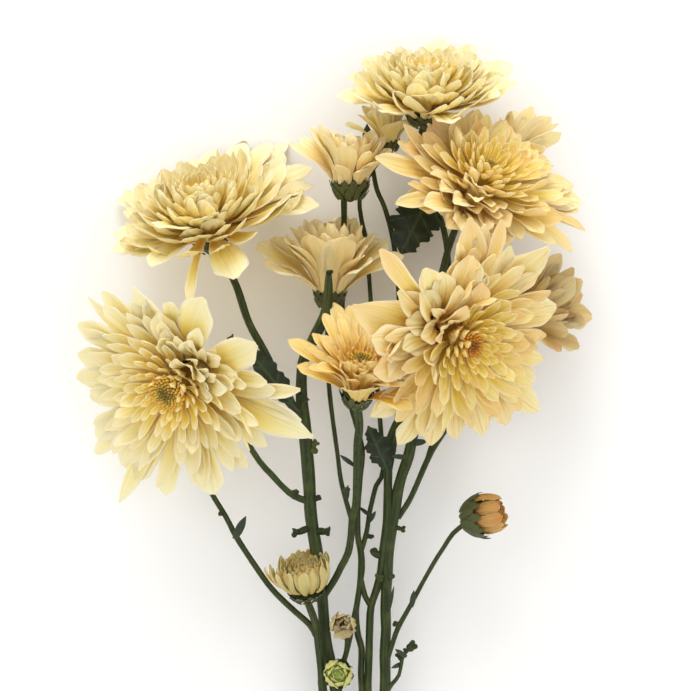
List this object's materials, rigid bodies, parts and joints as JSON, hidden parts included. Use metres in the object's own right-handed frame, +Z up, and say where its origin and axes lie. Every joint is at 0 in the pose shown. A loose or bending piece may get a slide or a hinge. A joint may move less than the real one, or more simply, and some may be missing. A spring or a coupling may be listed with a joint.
{
  "type": "chrysanthemum cut flower spray",
  "caption": "Cut spray chrysanthemum lying on its back: one leafy branching stem carrying many-petalled cream and pale yellow flower heads and opening buds, for floral decoration.",
  "frame": {"origin": "centre of the bounding box, on the surface that the spray lies on", "axes": "+Y along the spray from its cut end to the top flower, +X to its right seen from above, +Z up from the surface"},
  "size_m": [0.1857, 0.3698, 0.0992],
  "materials": {
    "green_stems": "satin olive green plant skin, finely ribbed, darker on the leaves",
    "cream_petals": "soft satin petals, cream at the tips and pale yellow to golden ochre towards the eye",
    "peach_petals": "soft satin petals, peach cream outside and saturated yellow towards the eye",
    "bud_petals": "young petals, pale yellow with golden brown to green bases"
  },
  "bodies": {
    "root": {"leafy_stems": "green_stems", "bloom_01": "cream_petals", "bloom_02": "cream_petals", "bloom_03": "cream_petals", "bloom_04": "peach_petals", "bloom_05": "cream_petals", "bloom_06": "peach_petals", "bloom_07": "cream_petals", "bloom_08": "cream_petals", "bloom_09": "cream_petals", "bloom_10": "cream_petals", "bloom_11": "cream_petals", "bud_13": "bud_petals", "bud_14": "peach_petals", "bud_15": "bud_petals", "bud_16": "bud_petals"}
  },
  "joints": []
}
